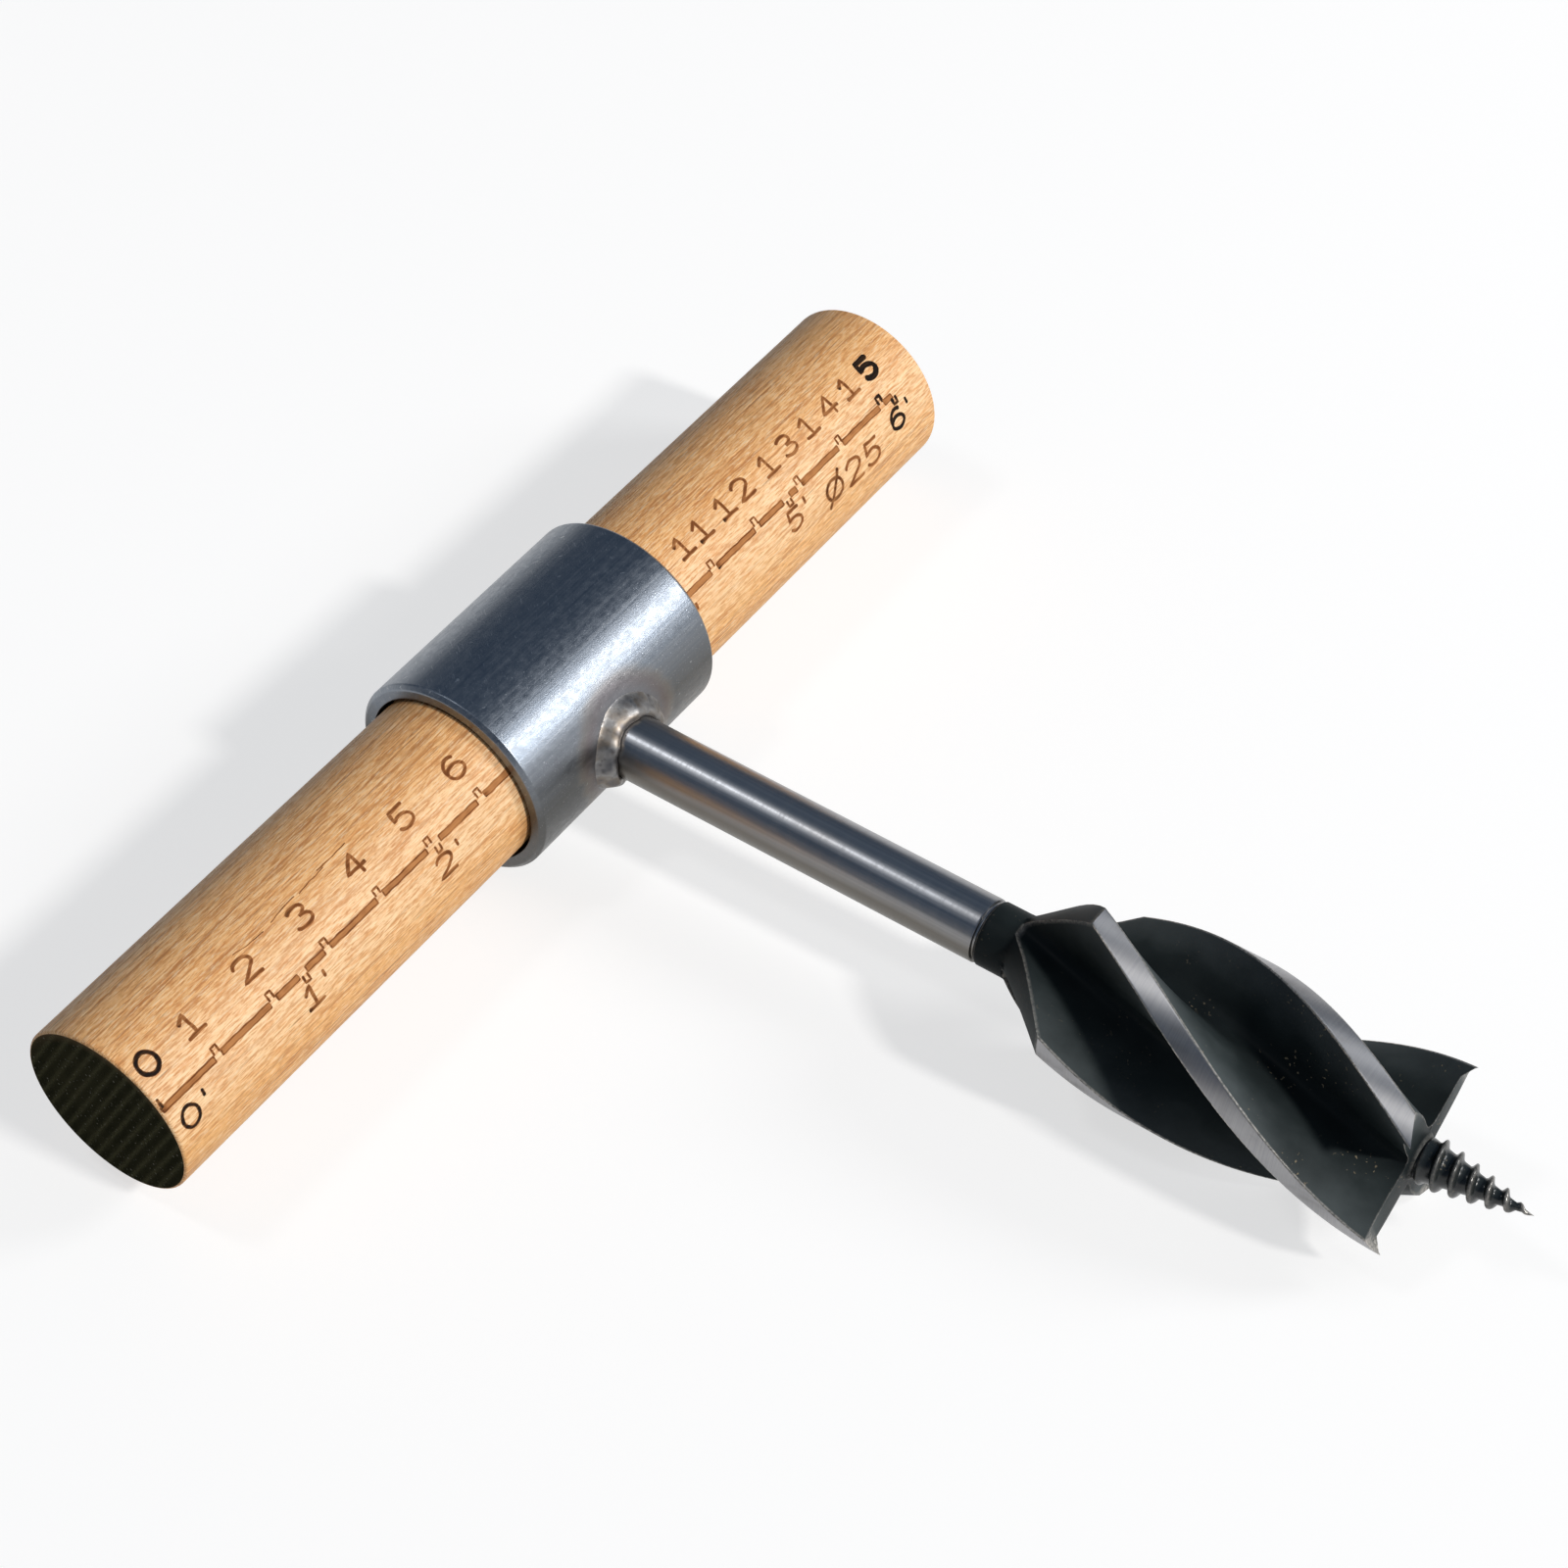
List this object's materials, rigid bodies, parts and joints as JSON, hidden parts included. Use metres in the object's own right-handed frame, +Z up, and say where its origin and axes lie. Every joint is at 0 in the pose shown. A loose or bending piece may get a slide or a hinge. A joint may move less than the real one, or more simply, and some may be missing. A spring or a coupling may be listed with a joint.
{
  "type": "hand wood auger",
  "caption": "T-shaped hand auger for wood: a round wooden handle slides through a steel eye, welded to a bright shank with a fluted black drill head and a lead screw.",
  "frame": {"origin": "middle of the base of the tool's bounding box, on the surface that the tool lies on", "axes": "+X along the handle from the scale's zero end, +Y from the screw point to the handle, +Z up from the surface that the tool lies on"},
  "size_m": [0.16, 0.162, 0.03],
  "materials": {
    "wood": "oiled, with short dark flecks along the grain and a burnt-in scale",
    "tube_steel": "satin, drawn lengthwise",
    "weld_metal": "shiny weld with straw and blue heat tint",
    "shank_steel": "ground bright",
    "black_steel": "black oxide, glossy, with ground bright lands",
    "screw_steel": "black oxide, worn bright at the tip"
  },
  "bodies": {
    "tool": {"eye_tube": "tube_steel", "weld_bead": "weld_metal", "shank": "shank_steel", "auger_head": "black_steel", "lead_screw": "screw_steel"},
    "handle": {"handle": "wood"}
  },
  "joints": [
    {"name": "handle_slide", "type": "slide", "parent": "tool", "child": "handle", "axis": [1, 0, 0], "range_m": [-0.095, 0.104]}
  ]
}
